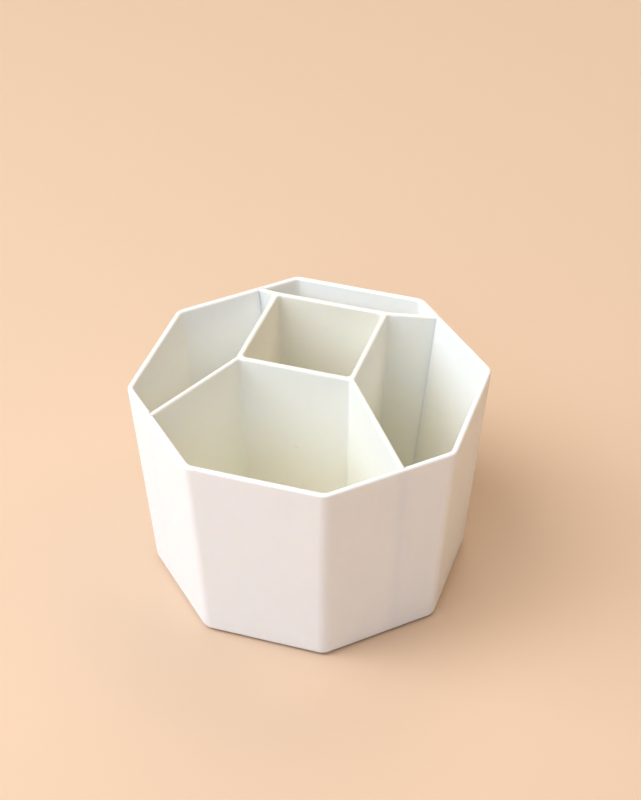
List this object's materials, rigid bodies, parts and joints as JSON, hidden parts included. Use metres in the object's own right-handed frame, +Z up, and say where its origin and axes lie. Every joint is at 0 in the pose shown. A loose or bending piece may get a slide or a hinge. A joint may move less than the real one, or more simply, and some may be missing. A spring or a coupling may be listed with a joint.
{
  "type": "desk organizer",
  "caption": "Octagonal pen cup that widens upwards, with a divider insert that lifts out: a square cell with a fin from each corner to the wall. It stands on rubber pads.",
  "frame": {"origin": "on the desk, under the middle of the cup", "axes": "+Z up, +X to the right, +Y to the back; one flat side of the cup faces -Y, with the largest compartment behind it"},
  "size_m": [0.1198, 0.1198, 0.08],
  "materials": {
    "cup_plastic": "satin moulded surface, slightly translucent warm white",
    "insert_plastic": "satin moulded surface, slightly translucent warm white",
    "pad_rubber": "matt moulded rubber"
  },
  "bodies": {
    "cup": {"outer_cup": "cup_plastic", "foot_pad_front_left": "pad_rubber", "foot_pad_front_right": "pad_rubber", "foot_pad_back_left": "pad_rubber", "foot_pad_back_right": "pad_rubber"},
    "insert": {"divider_insert": "insert_plastic"}
  },
  "joints": [
    {"name": "insert_lift", "type": "slide", "parent": "cup", "child": "insert", "axis": [0, 0, 1], "range_m": [0, 0.085]}
  ]
}
